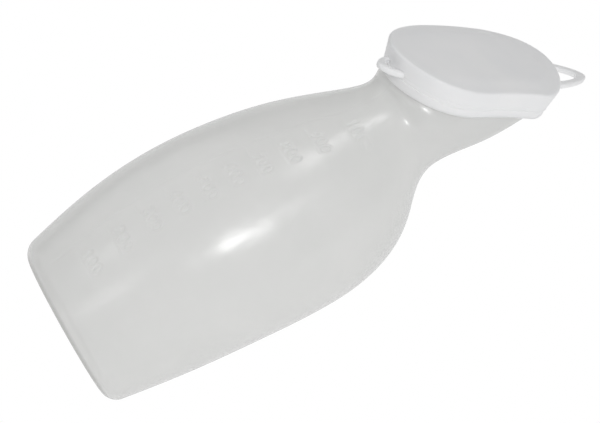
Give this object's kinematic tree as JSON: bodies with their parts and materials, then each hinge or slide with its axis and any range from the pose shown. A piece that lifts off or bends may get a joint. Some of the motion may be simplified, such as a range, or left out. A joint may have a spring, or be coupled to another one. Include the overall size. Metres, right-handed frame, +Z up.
{
  "type": "urine bottle",
  "caption": "Bedside urine bottle lying on its back: a round translucent body necks down and bends up to an oval mouth, closed by a snap lid with a finger loop at each end.",
  "frame": {"origin": "on the ground, in the middle of the flat strip along the bottle's back", "axes": "+Z up with the bottle lying on its back, +X from the base towards the mouth, mirror plane at Y = 0"},
  "size_m": [0.2892, 0.104, 0.1086],
  "materials": {
    "translucent_polyethylene": "milky translucent, soft gloss",
    "white_polyethylene": "opaque white, satin"
  },
  "bodies": {
    "bottle_body": {"bottle": "translucent_polyethylene"},
    "lid_body": {"lid": "white_polyethylene"}
  },
  "joints": [
    {"name": "lid_lift", "type": "slide", "parent": "bottle_body", "child": "lid_body", "axis": [0.4848, 0, 0.8746], "range_m": [0, 0.06]}
  ]
}
